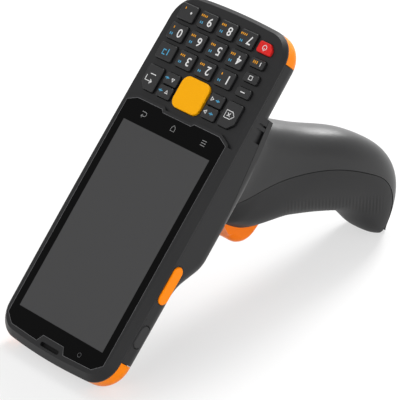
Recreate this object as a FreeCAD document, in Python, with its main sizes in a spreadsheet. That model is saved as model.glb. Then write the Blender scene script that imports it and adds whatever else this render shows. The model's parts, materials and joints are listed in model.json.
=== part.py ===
import FreeCAD, Part
import math
import os
from FreeCAD import Placement, Rotation, Vector

# Hand-held barcode data terminal with a pistol grip, drawn in millimetres.
# Everything is drawn in the terminal's own frame: X across the face, Y from the head end
# (scan window, at 0) to the tail end, Z out of the face (front of the bezel at 0).
# At the end every piece gets one placement that stands the terminal on its head end and butt.

document = FreeCAD.newDocument("barcode_terminal")
sheet = document.addObject("Spreadsheet::Sheet", "Sizes")

SIZES = {
    # terminal body
    "body_length": 158.8,
    "body_width": 69.0,
    "widest_place": 50.0,
    "head_narrowing": 0.4,
    "tail_narrowing": 1.1,
    "head_end_drop": 2.1,
    "tail_end_drop": 1.6,
    "corner_radius": 12.0,
    "body_thickness": 13.0,
    "back_round": 6.0,
    "parting_depth": 3.4,
    "bezel_chamfer": 2.7,
    "wall": 2.0,
    "seam": 0.15,
    # raised back over the battery
    "hump_depth": 21.0,
    "ramp_start": 49.0,
    "ramp_end": 61.5,
    "ramp_round": 14.0,
    "hump_tail": 125.6,
    # seat of the grip on the back
    "seat_head_place": 81.0,
    "seat_head_depth": 16.5,
    "seat_tail_depth": 10.4,
    # front face
    "deck_depth": 1.2,
    "rim_width": 1.3,
    "glass_width": 59.4,
    "glass_thickness": 1.1,
    "glass_gap": 0.1,
    "glass_head": 4.8,
    "glass_tail": 110.2,
    "glass_head_shoulder": 24.9,
    "glass_head_slope": 0.8,
    "glass_head_corner": 4.4,
    "glass_tail_shoulder": 24.5,
    "glass_tail_corner": 2.4,
    "glass_round": 0.8,
    "ear_half_width": 6.3,
    "ear_depth": 3.1,
    "ear_slope": 1.9,
    "key_notch_half_width": 8.4,
    "key_notch_depth": 1.2,
    "key_notch_slope": 1.2,
    "slot_length": 11.2,
    "slot_width": 1.8,
    "slot_place": 4.7,
    "mesh_thickness": 0.5,
    # screen and what lies behind it
    "screen_width": 56.0,
    "screen_length": 91.0,
    "screen_place": 56.4,
    "screen_thickness": 3.2,
    "window_margin": 0.4,
    "midframe_thickness": 1.3,
    "camera_place_x": 14.5,
    "camera_place_y": 8.4,
    "camera_radius": 1.6,
    "camera_length": 2.2,
    # keypad
    "key_gap": 0.3,
    "key_top": 0.1,
    "key_travel": 0.4,
    "key_corner": 0.9,
    "key_edge": 0.35,
    "flange_reach": 0.6,
    "flange_thickness": 0.4,
    "flange_gap": 0.1,
    "pocket_depth": 2.5,
    "pocket_width": 58.8,
    "pocket_head": 112.0,
    "pocket_tail": 153.9,
    "pocket_corner": 2.5,
    "digit_width": 9.2,
    "digit_height": 7.1,
    "digit_pitch_x": 11.8,
    "digit_pitch_y": 9.05,
    "digit_top_row": 150.0,
    "small_width": 7.8,
    "small_height": 3.8,
    "power_height": 4.7,
    "power_cut": 2.3,
    "power_place_x": 22.6,
    "power_place_y": 149.7,
    "case_place_x": 22.9,
    "case_place_y": 142.9,
    "program_place_x": 23.8,
    "program_two_place_y": 136.5,
    "program_one_place_y": 130.0,
    "arrow_place_x": 13.4,
    "arrow_width": 7.8,
    "arrow_height": 5.2,
    "arrow_split": 0.5,
    "lower_row_place": 119.7,
    "wide_place_x": 23.6,
    "wide_width": 8.5,
    "wide_height": 10.8,
    "wide_cut": 2.8,
    "centre_width": 15.9,
    "centre_height": 14.0,
    "centre_corner": 3.6,
    "centre_place": 120.1,
    "mat_thickness": 1.8,
    "mat_gap": 0.15,
    "mat_width": 58.0,
    "mat_head": 112.2,
    "mat_tail": 154.4,
    # side keys and the small function button
    "side_key_place": 49.5,
    "side_key_length": 16.6,
    "side_key_height": 5.2,
    "side_key_proud": 0.6,
    "side_key_depth": 6.2,
    "side_button_place": 26.4,
    "side_button_length": 9.8,
    "side_button_height": 4.8,
    "side_button_proud": 0.1,
    "side_travel": 0.6,
    "side_gap": 0.3,
    "side_flange": 0.8,
    # corner bumpers
    "bumper_thickness": 1.6,
    "bumper_head_x": 22.5,
    "bumper_head_y": 14.0,
    "bumper_tail_x": 24.5,
    "bumper_tail_y": 147.5,
    # inside
    "cavity_width": 64.4,
    "cavity_head": 9.0,
    "cavity_tail": 153.4,
    "cavity_corner": 8.0,
    "board_thickness": 1.2,
    "board_width": 60.0,
    "main_board_head": 17.0,
    "main_board_tail": 54.0,
    "battery_head": 55.5,
    "battery_tail": 91.0,
    "battery_width": 56.0,
    "battery_thickness": 7.6,
    "battery_round": 3.0,
    "battery_wall": 0.2,
    "can_height": 2.2,
    # scan window and engine at the head end
    "scan_width": 30.0,
    "scan_height": 6.4,
    "scan_depth": 7.2,
    "scan_recess": 2.0,
    "scan_glass": 1.5,
    "engine_width": 22.0,
    "engine_length": 11.0,
    "engine_height": 6.2,
    # tail end
    "dock_width": 26.0,
    "dock_height": 6.0,
    "dock_recess": 0.8,
    "dock_depth": 6.6,
    "contact_block_width": 20.0,
    "contact_block_height": 4.0,
    "contact_block_length": 5.0,
    "contact_width": 1.2,
    "contact_pitch": 2.2,
    # side slots that the grip's hooks hold
    "hook_slot_head": 115.0,
    "hook_slot_tail": 120.4,
    "hook_slot_depth": 1.4,
    "hook_slot_top": 8.2,
    "hook_groove": 0.8,
    "hook_bar": 1.5,
    # back
    "speaker_place": 26.0,
    "speaker_slot_length": 12.0,
    "speaker_slot_width": 1.2,
    "speaker_slot_pitch": 2.6,
    "speaker_width": 15.0,
    "speaker_length": 11.0,
    "speaker_height": 3.0,
    "screw_radius": 1.1,
    "screw_head_radius": 2.0,
    "screw_head_height": 1.4,
    "screw_length": 7.0,
    "screw_inset_x": 24.5,
    "screw_head_y": 20.5,
    "screw_tail_y": 144.0,
    # grip
    "grip_wall": 3.0,
    "grip_seam": 0.28,
    "saddle_plate_width": 40.0,
    "saddle_plate_length": 32.0,
    "saddle_plate_thickness": 1.6,
    "saddle_plate_place": 104.0,
    "saddle_plate_cover": 1.0,
    "saddle_screw_x": 15.0,
    "saddle_screw_y": 12.0,
    "foot_trim": 0.6,
    "rest_tilt": 48.6,
    # trigger
    "pivot_y": 93.5,
    "pivot_z": 31.0,
    "pin_radius": 1.5,
    "pin_length": 30.0,
    "pin_clearance": 0.06,
    "trigger_width": 15.0,
    "trigger_gap": 0.4,
    "trigger_boss": 4.6,
    "trigger_reach": 37.6,
    "trigger_edge": 3.2,
    "trigger_swing": 8.0,
    "spring_wire": 0.45,
    "spring_radius": 2.0,
    "spring_pitch": 1.0,
    "spring_slot": 5.2,
    "switch_width": 12.8,
    "switch_height": 6.4,
    "switch_depth": 5.8,
    "switch_place_y": 107.0,
    "switch_place_z": 54.0,
    "rib_thickness": 2.0,
    "rib_height": 14.0,
    "grip_screw_radius": 1.4,
    "grip_screw_length": 9.0,
}

# Stations down the grip: the finger side and the spine in the side view, the half width
# across, and how square the section is (2 is an ellipse).
STATIONS = [
    ("saddle", 82.5, 20.4, 124.0, 20.4, 26.0, 3.2),
    ("flare", 84.0, 25.5, 124.4, 25.5, 21.6, 2.8),
    ("throat", 84.8, 33.0, 125.4, 32.5, 18.2, 2.5),
    ("neck", 85.6, 44.0, 127.6, 42.5, 16.8, 2.3),
    ("trigger", 88.0, 59.0, 131.6, 55.5, 16.4, 2.2),
    ("palm", 93.8, 72.5, 136.0, 69.5, 16.4, 2.2),
    ("waist", 100.6, 85.0, 141.0, 83.0, 16.6, 2.2),
    ("heel", 107.4, 98.5, 144.8, 97.0, 16.6, 2.2),
    ("turn", 112.4, 111.0, 146.2, 112.6, 16.2, 2.2),
    ("bend", 112.9, 120.5, 142.6, 126.4, 15.2, 2.2),
    ("butt", 112.0, 128.5, 132.2, 135.6, 13.2, 2.2),
    ("tip", 113.0, 138.0, 119.0, 142.6, 9.0, 2.2),
]

# The seam between the two grip shells in the side view, and how far it opens.
SEAM_POINTS = [
    ("root", 66.0, 26.0, 0.0),
    ("start", 91.2, 40.6, 0.0),
    ("rise", 103.3, 49.0, 0.0),
    ("arch", 116.8, 65.8, 0.0),
    ("crown", 127.3, 86.2, 0.0),
    ("fall", 132.8, 105.0, 0.0),
    ("corner", 134.0, 117.5, 0.0),
    ("inner", 129.6, 128.2, 0.5),
    ("lip", 121.6, 136.4, 1.8),
    ("end", 110.0, 150.0, 3.4),
]

row = 1
for alias, value in SIZES.items():
    sheet.set("A%d" % row, alias)
    sheet.set("B%d" % row, str(value))
    sheet.setAlias("B%d" % row, alias)
    row += 1
for station in STATIONS:
    for part_of, value in zip(("finger_y", "finger_z", "spine_y", "spine_z", "half_width", "square"),
                              station[1:]):
        sheet.set("A%d" % row, station[0] + "_" + part_of)
        sheet.set("B%d" % row, str(value))
        sheet.setAlias("B%d" % row, station[0] + "_" + part_of)
        row += 1
for point in SEAM_POINTS:
    for part_of, value in zip(("y", "z", "opening"), point[1:]):
        sheet.set("A%d" % row, "seam_" + point[0] + "_" + part_of)
        sheet.set("B%d" % row, str(value))
        sheet.setAlias("B%d" % row, "seam_" + point[0] + "_" + part_of)
        row += 1
document.recompute()


def mm(name):
    return float(sheet.get(name))


# Shared numbers that follow from the sizes
half_width = mm("body_width") / 2
length = mm("body_length")
parting = -mm("parting_depth")
deck = -mm("deck_depth")
FAR = 400.0
TINY = 0.01
SECTION_POINTS = 8


def block(x_low, x_high, y_low, y_high, z_low, z_high):
    corner = Vector(x_low, y_low, z_low)
    return Part.makeBox(x_high - x_low, y_high - y_low, z_high - z_low, corner)


def arc(start, middle, end):
    return Part.Arc(start, middle, end).toShape()


def polygon_face(points):
    return Part.Face(Part.makePolygon(points + [points[0]]))


def plan_solid(inset, bottom, top):
    """The body's outline in plan, moved in by inset, between two heights."""
    head_x = half_width - mm("head_narrowing") - inset
    tail_x = half_width - mm("tail_narrowing") - inset
    wide_x = half_width - inset
    head_y = mm("head_end_drop") + inset
    tail_y = length - mm("tail_end_drop") - inset
    sides = [
        arc(Vector(head_x, head_y, bottom), Vector(wide_x, mm("widest_place"), bottom),
            Vector(tail_x, tail_y, bottom)),
        arc(Vector(tail_x, tail_y, bottom), Vector(0, length - inset, bottom),
            Vector(-tail_x, tail_y, bottom)),
        arc(Vector(-tail_x, tail_y, bottom), Vector(-wide_x, mm("widest_place"), bottom),
            Vector(-head_x, head_y, bottom)),
        arc(Vector(-head_x, head_y, bottom), Vector(0, inset, bottom),
            Vector(head_x, head_y, bottom)),
    ]
    solid = Part.Face(Part.Wire(sides)).extrude(Vector(0, 0, top - bottom))
    upright = [edge for edge in solid.Edges if abs(edge.Vertexes[0].Z - edge.Vertexes[-1].Z) > TINY]
    return solid.makeFillet(mm("corner_radius") - inset, upright)


def edges_at(solid, height):
    return [edge for edge in solid.Edges
            if all(abs(vertex.Z - height) < TINY for vertex in edge.Vertexes)]


def rounded_bar(cx, cy, width, height, corner, z_low, z_high):
    """An upright bar with a rounded rectangular outline, centred in plan."""
    bar = block(cx - width / 2, cx + width / 2, cy - height / 2, cy + height / 2, z_low, z_high)
    upright = [edge for edge in bar.Edges if abs(edge.Vertexes[0].Z - edge.Vertexes[-1].Z) > TINY]
    return bar.makeFillet(corner, upright)


def glass_face(grow, height):
    """The front glass in plan, with its notches for the earpiece and the centre key."""
    half = mm("glass_width") / 2
    head = mm("glass_head")
    tail = mm("glass_tail")
    right = [
        (mm("ear_half_width"), head + mm("ear_depth")),
        (mm("ear_half_width") + mm("ear_slope"), head),
        (mm("glass_head_shoulder"), head + mm("glass_head_slope")),
        (half, head + mm("glass_head_corner")),
        (half, tail - mm("glass_tail_corner")),
        (mm("glass_tail_shoulder"), tail),
        (mm("key_notch_half_width") + mm("key_notch_slope"), tail),
        (mm("key_notch_half_width"), tail - mm("key_notch_depth")),
    ]
    left = [(-x, y) for x, y in reversed(right)]
    face = polygon_face([Vector(x, y, height) for x, y in right + left])
    soft = mm("glass_round")
    face = face.makeOffset2D(-soft).makeOffset2D(2 * soft).makeOffset2D(-soft)
    if grow:
        face = face.makeOffset2D(grow)
    return face


def hump_solid():
    """The side view of the raised back, drawn across the whole width."""
    thin = -mm("body_thickness")
    deep = -mm("hump_depth")
    ramp_start = mm("ramp_start")
    ramp_end = mm("ramp_end")
    slope = math.atan2(thin - deep, ramp_end - ramp_start)
    reach = mm("ramp_round") * math.tan(slope / 2)
    bisector = mm("ramp_round") * (1 / math.cos(slope / 2) - 1)
    along = Vector(0, math.cos(slope), -math.sin(slope))
    low_corner = Vector(0, ramp_start, thin)
    high_corner = Vector(0, ramp_end, deep)
    low_normal = Vector(0, -math.sin(slope / 2), -math.cos(slope / 2))
    high_normal = Vector(0, math.sin(slope / 2), math.cos(slope / 2))
    tail = Vector(0, mm("hump_tail"), deep)
    outline = [
        Part.makeLine(Vector(0, -1, parting), Vector(0, -1, thin)),
        Part.makeLine(Vector(0, -1, thin), low_corner - Vector(0, reach, 0)),
        arc(low_corner - Vector(0, reach, 0), low_corner + low_normal * bisector,
            low_corner + along * reach),
        Part.makeLine(low_corner + along * reach, high_corner - along * reach),
        arc(high_corner - along * reach, high_corner + high_normal * bisector,
            high_corner + Vector(0, reach, 0)),
        Part.makeLine(high_corner + Vector(0, reach, 0), tail),
        Part.makeLine(tail, Vector(0, mm("hump_tail"), thin)),
        Part.makeLine(Vector(0, mm("hump_tail"), thin), Vector(0, length + 1, thin)),
        Part.makeLine(Vector(0, length + 1, thin), Vector(0, length + 1, parting)),
        Part.makeLine(Vector(0, length + 1, parting), Vector(0, -1, parting)),
    ]
    side = Part.Face(Part.Wire(outline))
    side.translate(Vector(-FAR / 2, 0, 0))
    return side.extrude(Vector(FAR, 0, 0))


def rear_outer(inset):
    """The back half of the body from outside, hump and all, moved in by inset."""
    base = plan_solid(inset, -mm("body_thickness") + inset, parting)
    rim = edges_at(base, -mm("body_thickness") + inset)
    base = base.makeFillet(mm("back_round") - inset, rim)
    if inset:
        return base
    hump = plan_solid(0, -mm("hump_depth") - 1, parting).common(hump_solid())
    hump = hump.common(block(-FAR, FAR, mm("ramp_start") - 8, mm("hump_tail"), -FAR, parting - 1))
    low = [edge for edge in hump.Edges
           if abs(abs(edge.CenterOfMass.x) - half_width) < 2 and edge.CenterOfMass.z < -mm("body_thickness") + 1
           and edge.BoundBox.YLength > 1 and max(vertex.Z for vertex in edge.Vertexes) < parting - 2]
    tail_edge = [edge for edge in hump.Edges
                 if edge.BoundBox.YLength < TINY and edge.BoundBox.ZLength < TINY
                 and abs(edge.CenterOfMass.y - mm("hump_tail")) < TINY
                 and edge.CenterOfMass.z < -mm("hump_depth") + TINY]
    hump = hump.makeFillet(mm("back_round"), low + tail_edge)
    return base.fuse(hump).removeSplitter()


def seat_wedge(gap):
    """Everything behind the sloping seat plane from the seat's head end to its tail end."""
    head = mm("seat_head_place") + gap
    tail = mm("hump_tail") - gap
    slope = (mm("seat_head_depth") - mm("seat_tail_depth")) / (mm("hump_tail") - mm("seat_head_place"))
    points = [
        Vector(-FAR / 2, head, -mm("seat_head_depth") - gap),
        Vector(-FAR / 2, tail, -mm("seat_head_depth") - gap + slope * (tail - head)),
        Vector(-FAR / 2, tail, -mm("hump_depth") - 1),
        Vector(-FAR / 2, head, -mm("hump_depth") - 1),
    ]
    return polygon_face(points).extrude(Vector(FAR, 0, 0))


def seat_height(y):
    slope = (mm("seat_head_depth") - mm("seat_tail_depth")) / (mm("hump_tail") - mm("seat_head_place"))
    return -mm("seat_head_depth") + slope * (y - mm("seat_head_place"))


# Grip sections

def grip_section(station, inset):
    finger = Vector(0, mm(station + "_finger_y"), -mm(station + "_finger_z"))
    spine = Vector(0, mm(station + "_spine_y"), -mm(station + "_spine_z"))
    centre = (finger + spine) * 0.5
    across = (spine - finger).normalize()
    half_depth = finger.distanceToPoint(spine) / 2 - inset
    half_across = mm(station + "_half_width") - inset
    power = 2 / mm(station + "_square")
    points = []
    for step in range(SECTION_POINTS):
        turn = 2 * math.pi * step / SECTION_POINTS
        side = math.copysign(abs(math.sin(turn)) ** power, math.sin(turn))
        fore = math.copysign(abs(math.cos(turn)) ** power, math.cos(turn))
        points.append(centre + across * (half_depth * fore) + Vector(half_across * side, 0, 0))
    curve = Part.BSplineCurve()
    curve.interpolate(Points=points, PeriodicFlag=True)
    return Part.Wire([curve.toShape()])


def grip_loft(stations, inset):
    return Part.makeLoft([grip_section(name, inset) for name in stations], True, False)


def seam_region(gap):
    """The finger side of the seam, as a slab across the whole width."""
    points = [Vector(-FAR / 2, mm("seam_" + name + "_y"), -mm("seam_" + name + "_z"))
              for name, *unused in SEAM_POINTS]
    openings = [mm("seam_" + name + "_opening") for name, *unused in SEAM_POINTS]
    moved = []
    for index, point in enumerate(points):
        before = points[max(index - 1, 0)]
        after = points[min(index + 1, len(points) - 1)]
        run = (after - before).normalize()
        inward = Vector(0, run.z, -run.y)
        moved.append(point + inward * ((gap + openings[index]) if gap else 0))
    curve = Part.BSplineCurve()
    curve.interpolate(moved)
    first = moved[0]
    last = moved[-1]
    below = [Vector(first.x, last.y - FAR / 4, last.z), Vector(first.x, first.y - FAR / 4, first.z)]
    edges = [curve.toShape(), Part.makeLine(last, below[0]), Part.makeLine(below[0], below[1]),
             Part.makeLine(below[1], first)]
    return Part.Face(Part.Wire(edges)).extrude(Vector(FAR, 0, 0))


NAMES = [station[0] for station in STATIONS]
pivot = Vector(0, mm("pivot_y"), -mm("pivot_z"))
tilt = math.radians(mm("rest_tilt"))

# The floor in the terminal's frame touches the head end's rounded back edge.
up = Vector(0, math.sin(tilt), math.cos(tilt))
head_round = Vector(0, mm("back_round"), -mm("body_thickness") + mm("back_round"))
floor_level = head_round.dot(up) - mm("back_round")


def below_floor():
    slab = block(-FAR / 2, FAR / 2, -FAR, FAR, -FAR, floor_level)
    slab.rotate(Vector(0, 0, 0), Vector(1, 0, 0), -mm("rest_tilt"))
    return slab


pieces = []


def keep(label, shape):
    """One piece of the terminal as a node of its own."""
    item = document.addObject("Part::Feature", label)
    item.Label = label
    item.Shape = shape
    pieces.append(item)
    return item


def axis_x(centre, radius, half_length):
    return Part.makeCylinder(radius, 2 * half_length, centre - Vector(half_length, 0, 0), Vector(1, 0, 0))


# Keys: name, centre, width, height, corner and the corner that is cut off
digit_columns = [-2 * mm("digit_pitch_x"), -mm("digit_pitch_x"), 0.0, mm("digit_pitch_x")]
digit_rows = [mm("digit_top_row") - step * mm("digit_pitch_y") for step in range(3)]
DIGIT_KEYS = [["key_dot", "key_9", "key_8", "key_7"],
              ["key_0", "key_6", "key_5", "key_4"],
              ["key_fn", "key_3", "key_2", "key_1"]]
key_list = []
for line, names in enumerate(DIGIT_KEYS):
    for column, name in enumerate(names):
        key_list.append((name, digit_columns[column], digit_rows[line], "digit_width", "digit_height",
                         "key_corner", None))
arrow_shift = (mm("arrow_height") + mm("arrow_split")) / 2
key_list += [
    ("key_power", mm("power_place_x"), mm("power_place_y"), "small_width", "power_height",
     "key_corner", ("power_cut", 1, 1)),
    ("key_case", mm("case_place_x"), mm("case_place_y"), "small_width", "small_height",
     "key_corner", None),
    ("key_program_two", mm("program_place_x"), mm("program_two_place_y"), "small_width",
     "small_height", "key_corner", None),
    ("key_program_one", mm("program_place_x"), mm("program_one_place_y"), "small_width",
     "small_height", "key_corner", None),
    ("key_enter", -mm("wide_place_x"), mm("lower_row_place"), "wide_width", "wide_height",
     "key_corner", ("wide_cut", -1, -1)),
    ("key_delete", mm("wide_place_x"), mm("lower_row_place"), "wide_width", "wide_height",
     "key_corner", ("wide_cut", 1, -1)),
    ("key_up", -mm("arrow_place_x"), mm("lower_row_place") + arrow_shift, "arrow_width",
     "arrow_height", "key_corner", None),
    ("key_down", -mm("arrow_place_x"), mm("lower_row_place") - arrow_shift, "arrow_width",
     "arrow_height", "key_corner", None),
    ("key_left", mm("arrow_place_x"), mm("lower_row_place") + arrow_shift, "arrow_width",
     "arrow_height", "key_corner", None),
    ("key_right", mm("arrow_place_x"), mm("lower_row_place") - arrow_shift, "arrow_width",
     "arrow_height", "key_corner", None),
    ("key_scan", 0.0, mm("centre_place"), "centre_width", "centre_height", "centre_corner", None),
]


def key_outline(width, height, corner, cut, grow):
    """The outline of a key as a list of edges with rounded or cut corners."""
    half_x = width / 2 + grow
    half_y = height / 2 + grow
    face = polygon_face([Vector(half_x, half_y, 0), Vector(-half_x, half_y, 0),
                         Vector(-half_x, -half_y, 0), Vector(half_x, -half_y, 0)])
    solid = face.extrude(Vector(0, 0, 1))
    for edge in list(solid.Edges):
        x, y = edge.CenterOfMass.x, edge.CenterOfMass.y
        if cut and edge.BoundBox.ZLength > TINY and x * cut[1] > 0 and y * cut[2] > 0:
            solid = solid.makeChamfer(mm(cut[0]), [edge])
    rest = [edge for edge in solid.Edges if edge.BoundBox.ZLength > TINY
            and edge.BoundBox.XLength < TINY and edge.BoundBox.YLength < TINY]
    solid = solid.makeFillet(corner, rest)
    bottom = [face for face in solid.Faces if face.BoundBox.ZMax < TINY]
    return bottom[0]


def rectangle_sketch(body, name, plane_role, width, height, offset):
    """A centred rectangle on one of the body's own planes, sized by expressions."""
    plane = [item for item in body.Origin.OriginFeatures if item.Role == plane_role][0]
    sketch = body.newObject("Sketcher::SketchObject", name)
    sketch.AttachmentSupport = [(plane, "")]
    sketch.MapMode = "FlatFace"
    sketch.AttachmentOffset = Placement(Vector(0, 0, offset), Rotation())
    half_x = width[0] / 2
    half_y = height[0] / 2
    corners = [Vector(-half_x, -half_y, 0), Vector(half_x, -half_y, 0),
               Vector(half_x, half_y, 0), Vector(-half_x, half_y, 0)]
    import Sketcher
    for index in range(4):
        sketch.addGeometry(Part.LineSegment(corners[index], corners[(index + 1) % 4]), False)
    for index in range(4):
        sketch.addConstraint(Sketcher.Constraint("Coincident", index, 2, (index + 1) % 4, 1))
    sketch.addConstraint(Sketcher.Constraint("Horizontal", 0))
    sketch.addConstraint(Sketcher.Constraint("Horizontal", 2))
    sketch.addConstraint(Sketcher.Constraint("Vertical", 1))
    sketch.addConstraint(Sketcher.Constraint("Vertical", 3))
    sketch.addConstraint(Sketcher.Constraint("Symmetric", 0, 1, 1, 2, -1, 1))
    wide = sketch.addConstraint(Sketcher.Constraint("DistanceX", 0, 1, 0, 2, width[0]))
    tall = sketch.addConstraint(Sketcher.Constraint("DistanceY", 1, 1, 1, 2, height[0]))
    sketch.setExpression("Constraints[%d]" % wide, width[1])
    sketch.setExpression("Constraints[%d]" % tall, height[1])
    return sketch


# Front housing: bezel with the glass recess, the keypad deck and the key openings
front = plan_solid(0, parting, 0)
front = front.makeChamfer(mm("bezel_chamfer"), edges_at(front, 0))
deck_cut = block(-FAR, FAR, mm("glass_tail") - mm("glass_tail_corner"), length + 1, deck, 1)
deck_cut = deck_cut.cut(glass_face(mm("rim_width"), deck - 1).extrude(Vector(0, 0, 3)))
front = front.cut(deck_cut)
recess_floor = -mm("glass_thickness") - mm("glass_gap")
front = front.cut(glass_face(mm("glass_gap"), recess_floor).extrude(Vector(0, 0, 3)))
screen_window = rounded_bar(0, mm("screen_place"), mm("screen_width") + 2 * mm("window_margin"),
                            mm("screen_length") + 2 * mm("window_margin"), 1.0, parting - 1, 1)
front = front.cut(screen_window)
front = front.cut(rounded_bar(0, mm("slot_place"), mm("slot_length"), mm("slot_width"),
                              mm("slot_width") / 2 - TINY, parting - 1, 1))
camera_hole = Part.makeCylinder(mm("camera_radius") + mm("glass_gap"), 5,
                                Vector(mm("camera_place_x"), mm("camera_place_y"), parting - 1))
front = front.cut(camera_hole)
for name, x, y, width, height, corner, cut in key_list:
    hole = key_outline(mm(width), mm(height), mm(corner) + mm("key_gap"), cut, mm("key_gap"))
    hole.translate(Vector(x, y, parting - 1))
    front = front.cut(hole.extrude(Vector(0, 0, 5)))
for side in (-1, 1):
    between = block(-mm("arrow_width") / 2, mm("arrow_width") / 2, -mm("arrow_split"),
                    mm("arrow_split"), parting - 1, 2)
    between.translate(Vector(side * mm("arrow_place_x"), mm("lower_row_place"), 0))
    front = front.cut(between)

pocket = rounded_bar(0, (mm("pocket_head") + mm("pocket_tail")) / 2, mm("pocket_width"),
                     mm("pocket_tail") - mm("pocket_head"), mm("pocket_corner"), parting - 1,
                     -mm("pocket_depth"))
front = front.cut(pocket)

keep("touch_glass", glass_face(0, -mm("glass_thickness")).extrude(Vector(0, 0, mm("glass_thickness"))))
screen_top = recess_floor
screen = rounded_bar(0, mm("screen_place"), mm("screen_width"), mm("screen_length"), 1.0,
                     screen_top - mm("screen_thickness"), screen_top)
keep("display_module", screen)
keep("front_camera", Part.makeCylinder(mm("camera_radius"), mm("camera_length"),
                                       Vector(mm("camera_place_x"), mm("camera_place_y"),
                                              recess_floor - mm("camera_length") + mm("glass_gap"))))
mesh = rounded_bar(0, mm("slot_place"), mm("slot_length") - 2 * mm("glass_gap"),
                   mm("slot_width") - 2 * mm("glass_gap"),
                   mm("slot_width") / 2 - 2 * mm("glass_gap"), -1.4 - mm("mesh_thickness"), -1.4)
keep("earpiece_mesh", mesh)

# Keys, each a pressed cap with a flange under the deck that holds it in
flange_top = -mm("pocket_depth") - mm("flange_gap")
flange_low = flange_top - mm("flange_thickness")
for name, x, y, width, height, corner, cut in key_list:
    outline = key_outline(mm(width), mm(height), mm(corner), cut, 0)
    cap = outline.copy()
    cap.translate(Vector(x, y, flange_top))
    cap = cap.extrude(Vector(0, 0, mm("key_top") - flange_top))
    cap = cap.makeChamfer(mm("key_edge"), edges_at(cap, mm("key_top")))
    flange = block(-mm(width) / 2 - mm("flange_reach"), mm(width) / 2 + mm("flange_reach"),
                   -mm(height) / 2 + mm("key_corner"), mm(height) / 2 - mm("key_corner"),
                   flange_low, flange_top)
    flange.translate(Vector(x, y, 0))
    keep(name, cap.fuse(flange).removeSplitter())

# Keypad mat and the boards behind the face
mat_top = flange_low - mm("key_travel") - mm("mat_gap")
mat_low = mat_top - mm("mat_thickness")
keep("keypad_mat", block(-mm("mat_width") / 2, mm("mat_width") / 2, mm("mat_head"), mm("mat_tail") - 3,
                         mat_low, mat_top))
board_top = mat_low
board_low = board_top - mm("board_thickness")
keep("keypad_board", block(-mm("board_width") / 2 + 1, mm("board_width") / 2 - 1, mm("battery_tail") + 6,
                           mm("mat_tail") - 4, board_low, board_top))
midframe_top = screen_top - mm("screen_thickness")
keep("midframe", block(-mm("board_width") / 2, mm("board_width") / 2, mm("main_board_head"),
                       mm("mat_head") - 3, board_top, midframe_top))
keep("main_board", block(-mm("board_width") / 2, mm("board_width") / 2, mm("main_board_head"),
                         mm("main_board_tail"), board_low, board_top))
cans = [block(-24, -4, 32, 50, board_low - mm("can_height"), board_low),
        block(2, 24, 36, 51, board_low - mm("can_height"), board_low)]
keep("shield_cans", Part.makeCompound(cans))
battery = block(-mm("battery_width") / 2, mm("battery_width") / 2, mm("battery_head"), mm("battery_tail"),
                board_top - mm("battery_thickness"), board_top)
battery = battery.makeFillet(mm("battery_round"), [edge for edge in battery.Edges
                                                   if edge.BoundBox.XLength > TINY
                                                   and edge.CenterOfMass.z < board_top - 1])
keep("battery_pack", battery)

# Rear housing
outer = rear_outer(0)
wedge = seat_wedge(0)
saddle_block = outer.common(seat_wedge(mm("seam"))).common(
    block(-FAR, FAR, mm("seat_head_place"), mm("hump_tail") + 1, -FAR, parting - 1))
rear = outer.cut(wedge)
inner_top = parting
cavity_floor = -mm("body_thickness") + mm("wall")
cavity = rounded_bar(0, (mm("cavity_head") + mm("cavity_tail")) / 2, mm("cavity_width"),
                     mm("cavity_tail") - mm("cavity_head"), mm("cavity_corner"), board_low, inner_top + 1)
side_room = mm("back_round")
lower = rounded_bar(0, (mm("cavity_head") + mm("cavity_tail")) / 2, mm("cavity_width") - side_room,
                    mm("cavity_tail") - mm("cavity_head"), mm("cavity_corner"), cavity_floor, board_low + 1)
lower = lower.cut(block(-FAR, FAR, mm("seat_head_place"), FAR, -FAR, board_low - TINY))
battery_bay = block(-mm("battery_width") / 2 - mm("battery_wall"), mm("battery_width") / 2 + mm("battery_wall"),
                    mm("battery_head") - mm("battery_wall"), mm("battery_tail") + mm("battery_wall"),
                    board_top - mm("battery_thickness") - mm("battery_wall"), board_top + 1)
rear = rear.cut(cavity).cut(lower).cut(battery_bay)
shelf = [block(side * mm("board_width") / 2 - 2, side * mm("board_width") / 2 + 2, mm("main_board_head") + 3,
               mm("main_board_tail") - 2, cavity_floor - TINY, board_low) for side in (-1, 1)]
for ledge in shelf:
    rear = rear.fuse(ledge.common(cavity.fuse(lower)))

# Side keys
side_middle = parting - mm("side_key_height") / 2 - mm("side_gap")


def side_bar(side, place, long, tall, grow, x_low, x_high):
    bar = block(x_low, x_high, place - long / 2 - grow, place + long / 2 + grow,
                side_middle - tall / 2 - grow, side_middle + tall / 2 + grow)
    ends = [edge for edge in bar.Edges if edge.BoundBox.XLength > TINY]
    bar = bar.makeFillet(tall / 2 + grow - TINY, ends)
    if side < 0:
        bar = bar.mirror(Vector(0, 0, 0), Vector(1, 0, 0))
    return bar


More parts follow.
